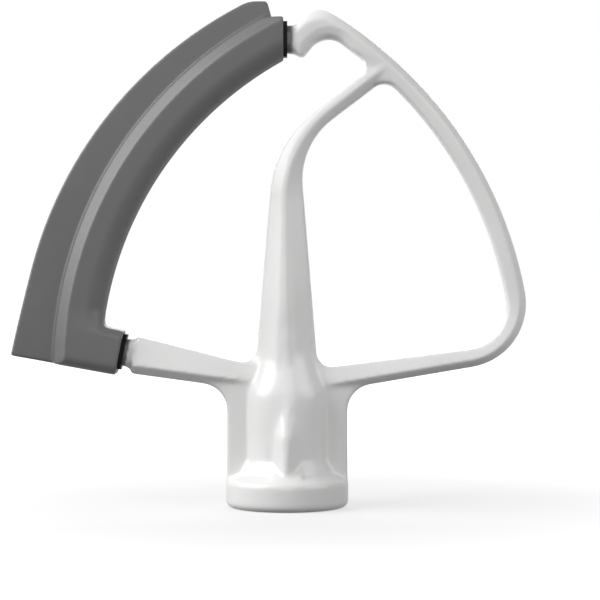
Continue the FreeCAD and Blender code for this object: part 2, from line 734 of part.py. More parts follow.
def left_arm_ridge(body):
    """The left arm, as a straight ridged bar."""
    slope = named("left_under_slope")
    section = ridged_arm_section(body, "left_arm_section", named("left_face_overrun"),
                                 named("bevel_overrun"), face_on_left=False)
    height = named("left_under_height") + named("left_ridge_inset") / cosine(slope)
    set_across(section, ZERO, height, slope - Size(RIGHT_ANGLE))
    length = (left_arm_reach() + named("core_seat")) / cosine(slope)
    return pad(body, "left_arm_bar", section, length)


def spine_ridge(body):
    """The spine, its bend and the spar, as one ridged bar that narrows upwards."""
    left = -named("spine_ridge_x")
    edge = named("spine_edge_depth") / 2
    radius = named("bend_ridge_radius")
    spar_ridge = named("spar_depth") / 2
    spar_left = spar_ridge - named("spar_face_overrun") * tangent(named("spar_face_slope"))
    spar_right = spar_ridge - named("spar_bevel_overrun") * tangent(named("bevel_slope"))
    foot_half, top_half = named("spine_foot_half_width"), named("spine_top_half_width")
    foot_height, bend_height = named("spine_foot_height"), named("bend_height")

    foot = roof_section(body, "spine_foot_section", foot_half, edge, named("spine_foot_depth") / 2,
                        foot_half, edge, named("spine_foot_round"))
    set_across(foot, left, foot_height, ZERO)
    top = roof_section(body, "spine_top_section", top_half, edge, named("spine_top_depth") / 2,
                       top_half, edge, named("spine_top_round"))
    set_across(top, left, bend_height, ZERO)
    loft(body, "spine", [foot, top], ruled=True)

    path = new_sketch(body, "bend_line", "XZ_Plane")
    centre = flat((left + radius).number, bend_height.number)
    start = flat(left.number, bend_height.number)
    way = Line(ZERO, ZERO, named("spar_slope")).way
    bend_end = centre + left_of(way) * radius.number
    arc, first, last = draw_arc(path, centre, radius.number, -1, start, bend_end)
    spar_end = bend_end + way * named("spar_run").number
    spar = path.addGeometry(Part.LineSegment(bend_end, spar_end), False)
    path.addConstraint(Sketcher.Constraint("Tangent", arc, last, spar, 1))
    fix_point(path, arc, 3, left + radius, bend_height)
    dimension(path, "DistanceX", *ORIGIN_POINT, arc, first, size=left)
    path.addConstraint(Sketcher.Constraint("Horizontal", arc, first, arc, 3))
    dimension(path, "Angle", spar, size=named("spar_slope"))
    dimension(path, "Distance", spar, size=named("spar_run"))

    start_section = roof_section(body, "bend_section", top_half, edge, named("spine_top_depth") / 2,
                                 top_half, edge, named("spine_top_round"))
    set_across(start_section, left, bend_height, ZERO)
    end_section = roof_section(body, "spar_section", named("spar_face_overrun"), spar_left,
                               spar_ridge, named("spar_bevel_overrun"), spar_right,
                               named("spar_round"))
    turned = Size(RIGHT_ANGLE) - named("spar_slope")
    run = named("spar_run")
    end_x = left + radius * (Size(1) - cosine(turned)) + run * sine(turned)
    end_height = bend_height + radius * sine(turned) + run * cosine(turned)
    set_across(end_section, end_x, end_height, turned)
    bar = pipe(body, "bend_and_spar", start_section, path)
    bar.Sections = [(end_section, [""])]
    bar.Transformation = "Multisection"
    return bar


def web_plate(body):
    """The webs between the hub and the arms, thinner towards their edges and their top."""
    root_x, edge_x = named("tube_radius"), named("web_run_out")
    root, edge, top = named("web_root_depth"), named("web_edge_depth"), named("web_top_depth")
    stages = [(ZERO, root, edge), (named("web_thin_height"), root, edge),
              (named("web_top_height"), top, top * edge / root)]
    sections = []
    for number, (height, root_depth, edge_depth) in enumerate(stages):
        sketch = new_sketch(body, f"web_section_{number}", "XY_Plane")
        at_root, at_edge = root_depth / 2, edge_depth / 2
        draw_polygon(sketch, [
            (-edge_x, -at_edge, None), (-root_x, -at_root, None), (root_x, -at_root, None),
            (edge_x, -at_edge, None), (edge_x, at_edge, None), (root_x, at_root, None),
            (-root_x, at_root, None), (-edge_x, at_edge, None),
        ])
        set_across(sketch, ZERO, height, ZERO)
        sections.append(sketch)
    return loft(body, "webs", sections, ruled=True)


# Casting: hub


def hub(body):
    """Collar, tube and the closed root of the tube, turned about the shaft's axis."""
    sketch = new_sketch(body, "hub_profile", "XZ_Plane")
    foot_bevel, top_bevel = named("collar_foot_bevel"), named("collar_top_bevel")
    draw_polygon(sketch, [
        (ZERO, ZERO, None),
        (named("collar_radius") - foot_bevel, ZERO, None),
        (named("collar_radius"), foot_bevel, None),
        (named("collar_radius"), named("collar_height") - top_bevel, None),
        (named("collar_radius") - top_bevel, named("collar_height"), None),
        (named("shoulder_radius"), named("shoulder_height"), None),
        (named("tube_radius"), named("tube_foot_height"), None),
        (named("tube_radius"), named("tube_top_height"), named("tube_top_round")),
        (named("root_radius"), named("root_height"), None),
        (ZERO, named("root_height"), None),
    ])
    turn(body, "hub_turning", sketch, "PartDesign::Revolution")
    sections = []
    stages = [
        (named("collar_height"), named("rib_half_width"), named("rib_reach"),
         named("rib_nose_round")),
        (named("rib_lean_height"), named("rib_half_width"), named("rib_reach"),
         named("rib_nose_round")),
        (named("rib_top_height"), named("rib_top_half_width"), named("rib_top_reach"),
         named("rib_nose_round") / 2),
    ]
    side_reach = named("rib_side_reach")
    for number, (height, half_width, reach, nose_round) in enumerate(stages):
        section = roof_section(body, f"rib_section_{number}", half_width, side_reach, reach,
                               half_width, side_reach, nose_round)
        set_across(section, ZERO, height, ZERO)
        sections.append(section)
    return loft(body, "pin_slot_ribs", sections, ruled=True)


def shaft_socket(body):
    """The blind bore for the shaft, the slot for its pin and the recess that locks it."""
    profile = new_sketch(body, "bore_profile", "XZ_Plane")
    radius, depth, lead = named("bore_radius"), named("bore_depth"), named("bore_lead_in")
    draw_polygon(profile, [
        (ZERO, ZERO, None),
        (radius + lead, ZERO, None),
        (radius, lead, None),
        (radius, depth, None),
        (ZERO, depth + named("bore_point"), None),
    ])
    turn(body, "shaft_bore", profile, "PartDesign::Groove")
    half, reach = named("pin_slot_width") / 2, named("pin_slot_reach")
    slot = new_sketch(body, "pin_slot_outline", "XY_Plane")
    draw_polygon(slot, [
        (-half, -reach, None), (half, -reach, None), (half, ZERO, None), (-half, ZERO, None),
    ])
    cut = body.newObject("PartDesign::Pocket", "pin_slot")
    cut.Profile = slot
    cut.Reversed = True
    cut.setExpression("Length", named("pin_slot_height").text)
    sill, top = named("lock_sill_height"), named("pin_slot_height")
    recess = new_sketch(body, "lock_recess_profile", "YZ_Plane")
    draw_polygon(recess, [
        (-reach, sill, None), (ZERO, sill, None), (ZERO, top, None), (-reach, top, None),
    ])
    turn(body, "lock_recess", recess, "PartDesign::Groove", named("lock_sweep"))
    seat = new_sketch(body, "pin_seat_profile", "YZ_Plane")
    seat_turn = named("lock_sweep") - named("seat_sweep")
    seat.AttachmentOffset = FreeCAD.Placement(
        FreeCAD.Vector(0, 0, 0), FreeCAD.Rotation(FreeCAD.Vector(0, 1, 0), seat_turn.number))
    seat.setExpression("AttachmentOffset.Rotation.Angle", seat_turn.text)
    floor = sill - named("seat_drop")
    draw_polygon(seat, [
        (-reach, floor, None), (ZERO, floor, None), (ZERO, top, None), (-reach, top, None),
    ])
    return turn(body, "pin_seat", seat, "PartDesign::Groove", named("seat_sweep"))


def neck_section(body, name, growth):
    half_width, half_depth = named("core_width") / 2 + growth, named("core_depth") / 2
    return bevelled_section(body, name, half_width, half_depth, named("core_bevel") + growth)


def necks(body):
    """The flares from the core bar out to the ends of the left arm and the hook."""
    length, growth, seat = named("neck_length"), named("neck_growth"), named("core_seat")
    past_foot, past_top = core_in_arms()
    for place, name, end in ((place_on_core_foot, "foot_neck", past_foot),
                             (place_on_core_top, "hook_neck", past_top)):
        narrow = neck_section(body, f"{name}_narrow", ZERO)
        place(narrow, end - seat - length)
        wide = neck_section(body, f"{name}_wide", growth)
        place(wide, end - seat)
        seated = neck_section(body, f"{name}_seated", growth)
        place(seated, end)
        loft(body, name, [narrow, wide, seated], ruled=True)


def beater_frame():
    """The white casting: hub, spine, spar, arms, rim, hook and the bar inside the edge."""
    outline = front_outline()
    body = doc.addObject("PartDesign::Body", "beater_frame")
    rim_ridge(body)
    hook_leg(body)
    left_arm_ridge(body)
    spine_ridge(body)
    web_plate(body)
    trim = body.newObject("PartDesign::Boolean", "trimmed_to_outline")
    trim.setObjects([outline])
    trim.Type = "Common"
    doc.recompute()
    past_foot, past_top = core_in_arms()
    path = core_path(body, "core_line", past_foot, past_top)
    section = core_section(body, "core_section", ZERO)
    place_on_core_foot(section, past_foot)
    pipe(body, "core_bar", section, path)
    necks(body)
    hub(body)
    shaft_socket(body)
    return body


# Carrier


def edge_carrier():
    """The black carrier round the core bar, which shows as a ring at each end of the edge."""
    body = doc.addObject("PartDesign::Body", "edge_carrier")
    show, wall = named("carrier_show"), named("carrier_wall")
    outer_path = core_path(body, "carrier_line", show, show)
    outer = core_section(body, "carrier_section", wall)
    place_on_core_foot(outer, show)
    pipe(body, "carrier_sleeve", outer, outer_path)
    past_foot, past_top = core_in_arms()
    inner_path = core_path(body, "carrier_bore_line", past_foot, past_top)
    inner = core_section(body, "carrier_bore_section", ZERO)
    place_on_core_foot(inner, past_foot)
    pipe(body, "carrier_bore", inner, inner_path, "PartDesign::SubtractivePipe")
    return body


# Flexible edge


def edge_underside():
    return Line(-named("edge_under_x"), named("edge_under_height"), -named("edge_under_slope"))


def flex_edge():
    """The flexible edge: a thick body round the carrier, a sloped shoulder and a thin blade."""
    body = doc.addObject("PartDesign::Body", "flex_edge")
    centre_x, centre_height = named("edge_centre_x"), named("edge_centre_height")
    sketch = new_sketch(body, "edge_body_outline", "XZ_Plane")
    foot_turn = Size(RIGHT_ANGLE) - named("core_foot_slope")
    outline = [
        (edge_underside(), None),
        (Line(-edge_foot_x(), core_height_at(-edge_foot_x()), foot_turn), None),
        (Line(-named("elbow_top_x"), named("elbow_top_height"),
              Size(HALF_TURN) - named("elbow_top_slope")), named("elbow_inner_round")),
        (Arc(centre_x, centre_height, named("edge_inner_radius"), -1), None),
        (Line(-named("edge_top_x"), core_top_height(), RIGHT_ANGLE), None),
        (Line(-named("edge_top_x"), core_top_height() + named("edge_top_rise"), HALF_TURN), None),
        (Arc(centre_x, centre_height, named("edge_shoulder_radius"), 1), None),
    ]
    draw_sides(sketch, [side for side, _ in outline], [corner for _, corner in outline])
    block = pad(body, "edge_block", sketch, named("edge_depth"), both_ways=True)
    doc.recompute()

    centre = FreeCAD.Vector(centre_x.number, 0, centre_height.number)
    half_depth = named("edge_depth").number / 2
    inner_edges = []
    for number, edge in enumerate(block.Shape.Edges, start=1):
        middle = edge.valueAt((edge.FirstParameter + edge.LastParameter) / 2)
        on_face = abs(abs(middle.y) - half_depth) < NEAR
        reach = FreeCAD.Vector(middle.x, 0, middle.z).distanceToPoint(centre)
        if on_face and abs(reach - named("edge_inner_radius").number) < NEAR:
            inner_edges.append(f"Edge{number}")
    inner = body.newObject("PartDesign::Chamfer", "edge_inner_side")
    inner.Base = (block, inner_edges)
    inner.setExpression("Size", "Sizes.edge_inner_bevel")

    slope = new_sketch(body, "edge_shoulder_profile", "XY_Plane")
    slope.AttachmentOffset = FreeCAD.Placement(centre, FreeCAD.Rotation())
    slope.setExpression("AttachmentOffset.Base.x", centre_x.text)
    slope.setExpression("AttachmentOffset.Base.z", centre_height.text)
    shoulder, half = named("edge_shoulder"), named("edge_depth") / 2
    reach = named("edge_shoulder_radius")
    for side in (Size(1), Size(-1)):
        draw_polygon(slope, [
            (shoulder - reach, half * side, None),
            (-shoulder - reach, half * side, None),
            (-shoulder - reach, (half - shoulder * 2) * side, None),
        ])
    cut = body.newObject("PartDesign::Groove", "edge_shoulder")
    cut.Profile = slope
    cut.ReferenceAxis = (slope, ["V_Axis"])

    blade = new_sketch(body, "blade_outline", "XZ_Plane")
    upper = Arc(named("blade_upper_centre_x"), named("blade_upper_centre_height"),
                named("blade_upper_radius"), 1)
    lower = RunOnArc(upper, named("blade_lower_centre_x"), named("blade_lower_radius"))
    tip_turn = Size(HALF_TURN) - named("blade_tip_slope")
    blade_sides = [
        (edge_underside(), None),
        (Arc(centre_x, centre_height, named("blade_root_radius"), -1), None),
        (Line(-named("blade_tip_x"), core_top_height() + named("blade_tip_rise"), tip_turn),
         named("blade_tip_round")),
        (Line(0, core_top_height() + named("blade_top_rise"), HALF_TURN),
         named("blade_top_round")),
        (upper, None),
        (lower, None),
    ]
    draw_sides(blade, [side for side, _ in blade_sides], [corner for _, corner in blade_sides])
    pad(body, "blade", blade, named("blade_depth"), both_ways=True)
    show, wall = named("carrier_show"), named("carrier_wall")
    path = core_path(body, "edge_bore_line", show, show)
    section = core_section(body, "edge_bore_section", wall)
    place_on_core_foot(section, show)
    pipe(body, "edge_bore", section, path, "PartDesign::SubtractivePipe")
    return body


pieces = [beater_frame(), edge_carrier(), flex_edge()]
doc.recompute()

for thing in doc.Objects:
    if "Invalid" in thing.State or "Error" in thing.State:
        raise RuntimeError(f"{thing.Label} did not build: {thing.State}")

os.makedirs("parts", exist_ok=True)
for piece in pieces:
    if piece.Shape.isNull() or not piece.Shape.isValid():
        raise RuntimeError(f"{piece.Label} is not a valid solid")
for piece in pieces:
    piece.Shape.exportStep(f"parts/{piece.Label}.step")
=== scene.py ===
import math

import bpy
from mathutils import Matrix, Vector


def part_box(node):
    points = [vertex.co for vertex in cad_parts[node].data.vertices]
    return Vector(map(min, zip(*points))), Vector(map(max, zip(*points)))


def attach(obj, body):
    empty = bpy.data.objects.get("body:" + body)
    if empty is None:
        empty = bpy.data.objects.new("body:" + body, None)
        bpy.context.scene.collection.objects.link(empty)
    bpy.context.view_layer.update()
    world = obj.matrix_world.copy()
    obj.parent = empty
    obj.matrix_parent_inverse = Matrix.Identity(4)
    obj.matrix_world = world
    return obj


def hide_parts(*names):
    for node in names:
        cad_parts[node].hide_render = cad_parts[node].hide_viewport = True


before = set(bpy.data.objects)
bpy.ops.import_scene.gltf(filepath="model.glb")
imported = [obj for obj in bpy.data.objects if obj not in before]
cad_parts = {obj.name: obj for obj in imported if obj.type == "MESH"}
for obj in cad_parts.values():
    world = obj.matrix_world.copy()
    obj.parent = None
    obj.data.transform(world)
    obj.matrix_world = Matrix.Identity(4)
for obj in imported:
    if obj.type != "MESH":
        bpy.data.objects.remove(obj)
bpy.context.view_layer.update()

bl_info = {
    "name": "Flat beater",
    "version": (1, 0, 0),
    "blender": (4, 5, 0),
    "location": "3D View > Sidebar > Beater",
    "description": "Dresses the flat beater's packed parts and builds its studio",
    "category": "Object",
}

MILLIMETRE = 0.001

# Ribs over the pin slot, and the root where hub, spine and arms meet

RIB_HEIGHTS = (22.0 * MILLIMETRE, 34.0 * MILLIMETRE)
RIB_REACH = (4.0 * MILLIMETRE, 8.0 * MILLIMETRE)
ROOT_HEIGHT = 38.0 * MILLIMETRE
ROOT_REACH = (9.0 * MILLIMETRE, 15.0 * MILLIMETRE)

# Hook at the top, seen from the front as across and up

HOOK_LEG_SLOPE = math.radians(50.0)
HOOK_FACE_X = 2.0 * MILLIMETRE
HOOK_TIP_HEIGHT = 117.0 * MILLIMETRE
HOOK_MIDDLE = Vector((8.0, 124.0)) * MILLIMETRE
HOOK_REACH = (8.0 * MILLIMETRE, 20.0 * MILLIMETRE)
HOOK_FULLNESS = 0.4
RIDGE_HALF_DEPTH = 4.4 * MILLIMETRE
ARCH_CENTRE = Vector((11.02, 118.07)) * MILLIMETRE
ARCH_RADIUS = 5.7 * MILLIMETRE
ARCH_ROLL = 2.4 * MILLIMETRE
ARCH_HALF_DEPTH = 3.9 * MILLIMETRE
ARCH_FADE = (12.0 * MILLIMETRE, 20.0 * MILLIMETRE)

# Shoulder over the collar, each point as radius and height

SHOULDER = Vector((15.5, 7.6)) * MILLIMETRE
TUBE_FLARE = Vector((12.7, 9.0)) * MILLIMETRE
TUBE_FOOT = Vector((11.0, 12.6)) * MILLIMETRE
SHOULDER_FADE = (0.1 * MILLIMETRE, 0.6 * MILLIMETRE)
RIB_HALF_WIDTH = 4.1 * MILLIMETRE
WEB_HALF_DEPTH = 3.8 * MILLIMETRE
WEB_TAPER = 0.138

# Flexible edge, seen from the front as across and up

SWEEP_CENTRE = Vector((44.0, 36.4)) * MILLIMETRE
SWEEP_INNER_RADIUS = 93.3 * MILLIMETRE
EDGE_HALF_DEPTH = 5.7 * MILLIMETRE
INNER_ROLL = 5.2 * MILLIMETRE
BODY_WIDTH = 11.0 * MILLIMETRE
BODY_LEAN = 0.07
INNER_ROLL_FADE = (46.0 * MILLIMETRE, 53.0 * MILLIMETRE)
UNDERSIDE_POINT = Vector((-59.15, 37.5)) * MILLIMETRE
UNDERSIDE_SLOPE = math.radians(10.25)
UNDERSIDE_ROLL = 2.6 * MILLIMETRE

# Core bar beside the flexible edge, where the neck gets a dark band of painted shade

BAR_TOP_REGION = 112.0 * MILLIMETRE
BAR_TOP_END_X = 1.25 * MILLIMETRE
BAR_FOOT_END = Vector((-42.1, 40.8)) * MILLIMETRE
BAR_FOOT_SLOPE = math.radians(10.9)
BAR_EDGE = 0.15 * MILLIMETRE

# Finishes: the part of the noise that is used, from low to high

DRIFT_SPREAD = (0.35, 0.65)
GLOSS_SPREAD = (0.3, 0.7)

# Studio, in metres

LAMP_TARGET = Vector((0.0, 0.0, 0.07))
LAMP_DISTANCE = 0.8
GROUND_HALF = 4.0
SHADOW_GROUND = 0.04
WHITE_GROUND = 0.20


# Settings


class CastingSettings(bpy.types.PropertyGroup):
    """Coated casting: hub, spine, arms, rim and hook."""

    coat_colour: bpy.props.FloatVectorProperty(
        name="Coat colour",
        description="Colour of the glossy white coating",
        subtype="COLOR", size=3, min=0.0, max=1.0, default=(0.80, 0.80, 0.795),
    )
    shade_colour: bpy.props.FloatVectorProperty(
        name="Thick coat colour",
        description="Colour where the coating has run a little thicker",
        subtype="COLOR", size=3, min=0.0, max=1.0, default=(0.76, 0.76, 0.755),
    )
    gloss_low: bpy.props.FloatProperty(
        name="Smoothest roughness",
        description="Roughness of the coating where it has flowed out smooth",
        default=0.28, min=0.0, max=1.0, subtype="FACTOR",
    )
    gloss_high: bpy.props.FloatProperty(
        name="Dullest roughness",
        description="Roughness of the coating where it is a little dull",
        default=0.36, min=0.0, max=1.0, subtype="FACTOR",
    )
    peel_depth: bpy.props.FloatProperty(
        name="Orange peel depth",
        description="Depth of the coating's fine ripple",
        default=0.004 * MILLIMETRE, min=0.0, subtype="DISTANCE", unit="LENGTH", precision=6,
    )
    skin_size: bpy.props.FloatProperty(
        name="Skin cell",
        description="Cell size of the skin laid over the casting, which rounds its corners",
        default=0.48 * MILLIMETRE, min=0.2 * MILLIMETRE, subtype="DISTANCE", unit="LENGTH",
        precision=5,
    )
    skin_passes: bpy.props.IntProperty(
        name="Skin smoothing",
        description="Smoothing passes that round the corners as a thick coating does",
        default=9, min=0, max=60,
    )
    rib_passes: bpy.props.IntProperty(
        name="Rib smoothing",
        description="Smoothing passes that let the ribs over the pin slot run out in the spine",
        default=40, min=0, max=200,
    )
    root_passes: bpy.props.IntProperty(
        name="Root smoothing",
        description="Smoothing passes that round the place where hub, spine and arms meet",
        default=120, min=0, max=400,
    )
    last_passes: bpy.props.IntProperty(
        name="Last smoothing",
        description="Smoothing passes over the whole casting at the end",
        default=6, min=0, max=60,
    )
    # Painted shade: the dark colour of the band on the neck beside the black ring, not the bar's own
    # colour.
    neck_shade_colour: bpy.props.FloatVectorProperty(
        name="Painted neck shade colour",
        description="Colour of the core bar beside the flexible edge, where the coat stops",
        subtype="COLOR", size=3, min=0.0, max=1.0, default=(0.06, 0.06, 0.06),
    )


class EdgeSettings(bpy.types.PropertyGroup):
    """Flexible silicone edge."""

    silicone_colour: bpy.props.FloatVectorProperty(
        name="Silicone colour",
        description="Colour of the grey silicone",
        subtype="COLOR", size=3, min=0.0, max=1.0, default=(0.066, 0.066, 0.068),
    )
    bloom_colour: bpy.props.FloatVectorProperty(
        name="Bloom colour",
        description="Colour of the silicone's faint pale bloom",
        subtype="COLOR", size=3, min=0.0, max=1.0, default=(0.092, 0.092, 0.094),
    )
    matt_low: bpy.props.FloatProperty(
        name="Smoothest roughness",
        description="Roughness of the silicone where the mould was polished",
        default=0.44, min=0.0, max=1.0, subtype="FACTOR",
    )
    matt_high: bpy.props.FloatProperty(
        name="Dullest roughness",
        description="Roughness of the silicone where it is most matt",
        default=0.56, min=0.0, max=1.0, subtype="FACTOR",
    )
    grain_depth: bpy.props.FloatProperty(
        name="Grain depth",
        description="Depth of the mould's fine grain",
        default=0.01 * MILLIMETRE, min=0.0, subtype="DISTANCE", unit="LENGTH", precision=6,
    )
    skin_size: bpy.props.FloatProperty(
        name="Skin cell",
        description="Cell size of the skin laid over the edge, which rounds its corners",
        default=0.38 * MILLIMETRE, min=0.2 * MILLIMETRE, subtype="DISTANCE", unit="LENGTH",
        precision=5,
    )
    skin_passes: bpy.props.IntProperty(
        name="Skin smoothing",
        description="Smoothing passes that soften the moulded corners",
        default=10, min=0, max=60,
    )


class CarrierSettings(bpy.types.PropertyGroup):
    """Black sleeve inside the flexible edge."""

    nylon_colour: bpy.props.FloatVectorProperty(
        name="Nylon colour",
        description="Colour of the black nylon",
        subtype="COLOR", size=3, min=0.0, max=1.0, default=(0.003, 0.003, 0.003),
    )
    scuff_colour: bpy.props.FloatVectorProperty(
        name="Scuff colour",
        description="Colour of the nylon's faint scuffs",
        subtype="COLOR", size=3, min=0.0, max=1.0, default=(0.006, 0.006, 0.006),
    )
    matt_low: bpy.props.FloatProperty(
        name="Smoothest roughness",
        description="Roughness of the nylon where it has been rubbed",
        default=0.38, min=0.0, max=1.0, subtype="FACTOR",
    )
    matt_high: bpy.props.FloatProperty(
        name="Dullest roughness",
        description="Roughness of the nylon where it is most matt",
        default=0.52, min=0.0, max=1.0, subtype="FACTOR",
    )
    grain_depth: bpy.props.FloatProperty(
        name="Grain depth",
        description="Depth of the nylon's fine grain",
        default=0.008 * MILLIMETRE, min=0.0, subtype="DISTANCE", unit="LENGTH", precision=6,
    )


class StudioSettings(bpy.types.PropertyGroup):
    """Floor, lamps and camera."""

    view_distance: bpy.props.FloatProperty(
        name="View distance",
        description="Distance from the camera to the beater",
        default=0.575, min=0.1, subtype="DISTANCE", unit="LENGTH",
    )
    view_height: bpy.props.FloatProperty(
        name="View height",
        description="Height of the camera over the floor",
        default=0.068, subtype="DISTANCE", unit="LENGTH",
    )
    view_width: bpy.props.FloatProperty(
        name="View width",
        description="Width that the picture covers at the beater",
        default=0.159, min=0.01, subtype="DISTANCE", unit="LENGTH",
    )
    view_centre_x: bpy.props.FloatProperty(
        name="Picture centre, across",
        description="Place of the picture's centre at the beater, across",
        default=0.00338, subtype="DISTANCE", unit="LENGTH",
    )
    view_centre_height: bpy.props.FloatProperty(
        name="Picture centre, up",
        description="Place of the picture's centre at the beater, up",
        default=0.0547, subtype="DISTANCE", unit="LENGTH",
    )
    key_power: bpy.props.FloatProperty(
        name="Key lamp",
        description="Power of the large lamp at the left",
        default=9.2, min=0.0, unit="POWER",
    )
    right_power: bpy.props.FloatProperty(
        name="Right lamp",
        description="Power of the lamp at the right",
        default=2.2, min=0.0, unit="POWER",
    )
    front_power: bpy.props.FloatProperty(
        name="Front lamp",
        description="Power of the lamp over the camera",
        default=1.3, min=0.0, unit="POWER",
    )
    back_power: bpy.props.FloatProperty(
        name="Back lamp",
        description="Power of the lamp behind, which lights the beater's other face",
        default=4.0, min=0.0, unit="POWER",
    )
    ground_shade: bpy.props.FloatProperty(
        name="Ground",
        description="How pale the ground is under the lamps",
        default=0.25, min=0.0, max=1.0, subtype="FACTOR",
    )
    ground_bounce: bpy.props.FloatProperty(
        name="Ground bounce",
        description="Share of the lamps' light that the ground throws back up at the beater",
        default=0.1, min=0.0, max=1.0, subtype="FACTOR",
    )
    ground_lift: bpy.props.FloatProperty(
        name="Ground lift",
        description="White that the camera sees in the ground beside the beater's shadow",
        default=0.66, min=0.0, max=1.0, subtype="FACTOR",
    )
    room_level: bpy.props.FloatProperty(
        name="Room level",
        description="Brightness of the light that comes from all round",
        default=0.12, min=0.0,
    )


# Materials


def new_group_socket(group, name, direction, kind, default=None):
    socket = group.interface.new_socket(name=name, in_out=direction, socket_type=kind)
    if default is not None:
        socket.default_value = default
    return socket


def surface_grain_group():
    """Slow colour drift, patchy gloss and fine ripple, shared by every finish."""
    group = bpy.data.node_groups.get("Surface grain")
    if group:
        return group
    group = bpy.data.node_groups.new("Surface grain", "ShaderNodeTree")
    new_group_socket(group, "Base colour", "INPUT", "NodeSocketColor", (0.8, 0.8, 0.8, 1.0))
    new_group_socket(group, "Drift colour", "INPUT", "NodeSocketColor", (0.7, 0.7, 0.7, 1.0))
    new_group_socket(group, "Drift scale", "INPUT", "NodeSocketFloat", 40.0)
    new_group_socket(group, "Grain scale", "INPUT", "NodeSocketFloat", 900.0)
    new_group_socket(group, "Low roughness", "INPUT", "NodeSocketFloat", 0.2)
    new_group_socket(group, "High roughness", "INPUT", "NodeSocketFloat", 0.3)
    new_group_socket(group, "Colour", "OUTPUT", "NodeSocketColor")
    new_group_socket(group, "Roughness", "OUTPUT", "NodeSocketFloat")
    new_group_socket(group, "Height", "OUTPUT", "NodeSocketFloat")
    nodes, links = group.nodes, group.links
    given = nodes.new("NodeGroupInput")
    result = nodes.new("NodeGroupOutput")
    place = nodes.new("ShaderNodeTexCoord")
    drift = nodes.new("ShaderNodeTexNoise")
    drift.inputs["Detail"].default_value = 3.0
    grain = nodes.new("ShaderNodeTexNoise")
    grain.inputs["Detail"].default_value = 1.0
    links.new(place.outputs["Object"], drift.inputs["Vector"])
    links.new(place.outputs["Object"], grain.inputs["Vector"])
    links.new(given.outputs["Drift scale"], drift.inputs["Scale"])
    links.new(given.outputs["Grain scale"], grain.inputs["Scale"])
    spread = nodes.new("ShaderNodeMapRange")
    spread.inputs["From Min"].default_value, spread.inputs["From Max"].default_value = DRIFT_SPREAD
    links.new(drift.outputs["Fac"], spread.inputs["Value"])
    blend = nodes.new("ShaderNodeMix")
    blend.data_type = "RGBA"
    links.new(spread.outputs["Result"], blend.inputs["Factor"])
    links.new(given.outputs["Base colour"], blend.inputs["A"])
    links.new(given.outputs["Drift colour"], blend.inputs["B"])
    gloss = nodes.new("ShaderNodeMapRange")
    gloss.inputs["From Min"].default_value, gloss.inputs["From Max"].default_value = GLOSS_SPREAD
    links.new(drift.outputs["Fac"], gloss.inputs["Value"])
    links.new(given.outputs["Low roughness"], gloss.inputs["To Min"])
    links.new(given.outputs["High roughness"], gloss.inputs["To Max"])
    links.new(blend.outputs["Result"], result.inputs["Colour"])
    links.new(gloss.outputs["Result"], result.inputs["Roughness"])
    links.new(grain.outputs["Fac"], result.inputs["Height"])
    return group


def opaque(colour):
    return (colour[0], colour[1], colour[2], 1.0)


def new_finish(name, grain_values, bump_depth):
    """A material whose colour, gloss and ripple come from the surface grain."""
    finish = bpy.data.materials.new(name)
    finish.use_nodes = True
    nodes, links = finish.node_tree.nodes, finish.node_tree.links
    shader = nodes["Principled BSDF"]
    grain = nodes.new("ShaderNodeGroup")
    grain.node_tree = surface_grain_group()
    for socket, value in grain_values.items():
        grain.inputs[socket].default_value = value
    ripple = nodes.new("ShaderNodeBump")
    ripple.inputs["Strength"].default_value = 1.0
    ripple.inputs["Distance"].default_value = bump_depth
    links.new(grain.outputs["Colour"], shader.inputs["Base Color"])
    links.new(grain.outputs["Roughness"], shader.inputs["Roughness"])
    links.new(grain.outputs["Height"], ripple.inputs["Height"])
    links.new(ripple.outputs["Normal"], shader.inputs["Normal"])
    return finish, shader


def coated_casting_finish(settings):
    finish, shader = new_finish("White nylon coat", {
        "Base colour": opaque(settings.coat_colour),
        "Drift colour": opaque(settings.shade_colour),
        "Drift scale": 45.0,
        "Grain scale": 620.0,
        "Low roughness": settings.gloss_low,
        "High roughness": settings.gloss_high,
    }, settings.peel_depth)
    # Paints a dark band of shade on the neck beside the black ring.
    paint_neck_shade(finish, shader, settings.neck_shade_colour)
    shader.inputs["IOR"].default_value = 1.5
    shader.inputs["Coat Weight"].default_value = 0.1
    shader.inputs["Coat Roughness"].default_value = 0.14
    return finish


def paint_neck_shade(finish, shader, neck_shade_colour):
    """Paint shade as a dark band of colour on the neck beside the black ring."""
    nodes, links = finish.node_tree.nodes, finish.node_tree.links
    coat = shader.inputs["Base Color"].links[0].from_socket
    mark = nodes.new("ShaderNodeAttribute")
    mark.attribute_name = "painted_neck_shade"
    blend = nodes.new("ShaderNodeMix")
    blend.data_type = "RGBA"
    links.new(mark.outputs["Fac"], blend.inputs["Factor"])
    links.new(coat, blend.inputs["A"])
    blend.inputs["B"].default_value = opaque(neck_shade_colour)
    links.new(blend.outputs["Result"], shader.inputs["Base Color"])


def silicone_finish(settings):
    finish, shader = new_finish("Grey silicone", {
        "Base colour": opaque(settings.silicone_colour),
        "Drift colour": opaque(settings.bloom_colour),
        "Drift scale": 42.0,
        "Grain scale": 2200.0,
        "Low roughness": settings.matt_low,
        "High roughness": settings.matt_high,
    }, settings.grain_depth)
    shader.inputs["IOR"].default_value = 1.42
    shader.inputs["Specular IOR Level"].default_value = 1.0
    return finish


def nylon_finish(settings):
    finish, shader = new_finish("Black nylon", {
        "Base colour": opaque(settings.nylon_colour),
        "Drift colour": opaque(settings.scuff_colour),
        "Drift scale": 120.0,
        "Grain scale": 1800.0,
        "Low roughness": settings.matt_low,
        "High roughness": settings.matt_high,
    }, settings.grain_depth)
    shader.inputs["IOR"].default_value = 1.52
    shader.inputs["Specular IOR Level"].default_value = 0.08
    return finish


def wear_finish(piece, finish):
    piece.data.materials.clear()
    piece.data.materials.append(finish)


# Pieces


def node_object(node):
    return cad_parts[node]


